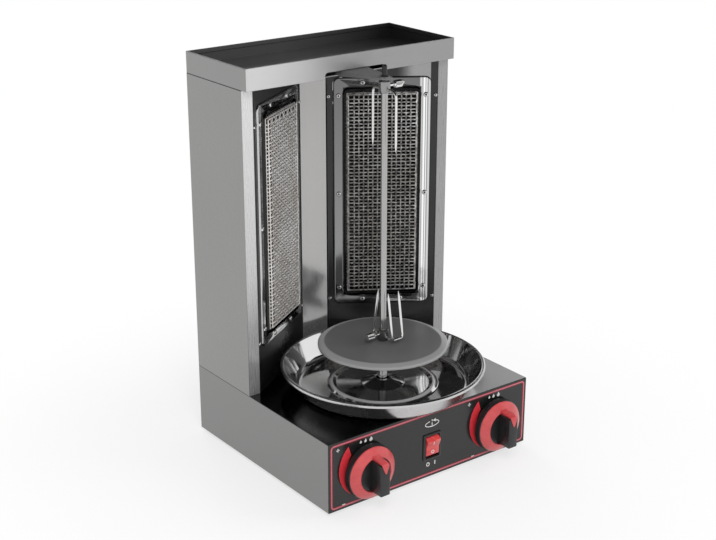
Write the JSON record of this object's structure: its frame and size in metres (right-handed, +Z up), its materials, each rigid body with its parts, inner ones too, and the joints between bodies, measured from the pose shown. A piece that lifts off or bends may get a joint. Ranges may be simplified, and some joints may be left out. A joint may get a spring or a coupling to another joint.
{
  "type": "gas doner kebab grill",
  "caption": "Table-top gas doner grill: upright burners in a V, a motor-driven spit with forks over a drip pan, a warming tray on top and gas knobs on a black front panel.",
  "frame": {"origin": "on the floor under the middle of the base, at the bottom centre of the bounding box", "axes": "+X to the user's right when facing the knobs, +Y from the front panel to the back, +Z up along the spit"},
  "size_m": [0.31, 0.3618, 0.5035],
  "materials": {
    "rubber_black": "matt black rubber",
    "base_steel": "polished stainless sheet",
    "column_steel": "satin stainless sheet",
    "inner_steel": "plain steel sheet",
    "tray_steel": "satin stainless sheet, darkened inside",
    "panel_black": "gloss black enamel with red and white print",
    "wall_black": "heat-proof black enamel",
    "burner_iron": "dark pressed burner body",
    "tile_ceramic": "pale porous ceramic with fine holes",
    "frame_chrome": "mirror-polished stainless",
    "mesh_steel": "woven steel wire, slightly tanned by heat",
    "tube_aluminium": "plain aluminium",
    "fitting_brass": "machined brass",
    "motor_metal": "zinc-plated can",
    "shaft_steel": "polished steel",
    "pan_steel": "mirror-polished stainless",
    "disc_steel": "satin stainless with a bright rolled rim",
    "fork_chrome": "bright chrome",
    "screw_steel": "bright zinc screws",
    "bracket_steel": "dull grey steel",
    "pin_black": "black oxide steel",
    "knob_black": "satin black phenolic",
    "knob_red": "red insert",
    "switch_black": "gloss black",
    "switch_red": "red translucent rocker",
    "wire_black": "sleeved wire"
  },
  "bodies": {
    "housing": {"feet": "rubber_black", "base_shell": "base_steel", "base_bottom_plate": "inner_steel", "front_panel": "panel_black", "column_shell": "column_steel", "column_top_plate": "inner_steel", "centre_panel": "column_steel", "burner_wall_left": "wall_black", "burner_wall_right": "wall_black", "top_tray": "tray_steel", "burner_body_left": "burner_iron", "burner_body_right": "burner_iron", "ceramic_tiles_left": "tile_ceramic", "ceramic_tiles_right": "tile_ceramic", "burner_frame_left": "frame_chrome", "burner_frame_right": "frame_chrome", "burner_mesh_left": "mesh_steel", "burner_mesh_right": "mesh_steel", "mixing_tube_left": "tube_aluminium", "mixing_tube_right": "tube_aluminium", "gas_jets": "fitting_brass", "gas_valve_left": "fitting_brass", "gas_valve_right": "fitting_brass", "valve_nuts": "fitting_brass", "gas_rail": "tube_aluminium", "gas_tube_left": "tube_aluminium", "gas_tube_right": "tube_aluminium", "supply_pipe": "tube_aluminium", "gas_inlet": "fitting_brass", "gear_motor": "motor_metal", "motor_bracket": "inner_steel", "drive_bush": "fitting_brass", "drip_pan": "pan_steel", "top_bracket": "bracket_steel", "top_bush": "fitting_brass", "switch_housing": "switch_black", "power_inlet": "switch_black", "power_inlet_pins": "fitting_brass", "wiring": "wire_black", "burner_screws": "screw_steel", "wall_screws": "screw_steel", "case_screws": "screw_steel"},
    "spit": {"drive_shaft": "shaft_steel", "spit_rod": "shaft_steel", "meat_disc": "disc_steel", "lower_fork": "fork_chrome"},
    "lower_thumb_screw": {"lower_fork_screw": "fork_chrome"},
    "upper_fork": {"upper_fork": "fork_chrome"},
    "upper_thumb_screw": {"upper_fork_screw": "fork_chrome"},
    "top_pin": {"top_pin": "pin_black"},
    "valve_plug_left": {"valve_plug_left": "fitting_brass"},
    "knob_left": {"valve_spindle_left": "shaft_steel", "knob_left": "knob_black", "knob_ring_left": "knob_red"},
    "valve_plug_right": {"valve_plug_right": "fitting_brass"},
    "knob_right": {"valve_spindle_right": "shaft_steel", "knob_right": "knob_black", "knob_ring_right": "knob_red"},
    "rocker": {"switch_rocker": "switch_red"}
  },
  "joints": [
    {"name": "spit_spin", "type": "hinge", "parent": "housing", "child": "spit", "pos_m": [0, -0.045, 0.1], "axis": [0, 0, 1], "continuous": true},
    {"name": "lower_screw_turn", "type": "hinge", "parent": "spit", "child": "lower_thumb_screw", "pos_m": [-0.01, -0.045, 0.1621], "axis": [-1, 0, 0], "range_deg": [0, 540]},
    {"name": "upper_fork_slide", "type": "slide", "parent": "spit", "child": "upper_fork", "axis": [0, 0, 1], "range_m": [-0.15, 0]},
    {"name": "upper_screw_turn", "type": "hinge", "parent": "upper_fork", "child": "upper_thumb_screw", "pos_m": [0.01, -0.045, 0.474], "axis": [1, 0, 0], "range_deg": [0, 540]},
    {"name": "top_pin_lift", "type": "slide", "parent": "housing", "child": "top_pin", "axis": [0, 0, 1], "range_m": [0, 0.012]},
    {"name": "knob_turn_left", "type": "hinge", "parent": "housing", "child": "valve_plug_left", "pos_m": [-0.1005, -0.1425, 0.047], "axis": [0, -1, 0], "range_deg": [0, 150]},
    {"name": "knob_push_left", "type": "slide", "parent": "valve_plug_left", "child": "knob_left", "axis": [0, 1, 0], "range_m": [0, 0.003], "stiffness_N_per_m": 800, "springref_m": -0.003},
    {"name": "knob_turn_right", "type": "hinge", "parent": "housing", "child": "valve_plug_right", "pos_m": [0.1005, -0.1425, 0.047], "axis": [0, -1, 0], "range_deg": [0, 150]},
    {"name": "knob_push_right", "type": "slide", "parent": "valve_plug_right", "child": "knob_right", "axis": [0, 1, 0], "range_m": [0, 0.003], "stiffness_N_per_m": 800, "springref_m": -0.003},
    {"name": "rocker_tip", "type": "hinge", "parent": "housing", "child": "rocker", "pos_m": [0, -0.1405, 0.046], "axis": [-1, 0, 0], "range_deg": [0, 22]}
  ]
}
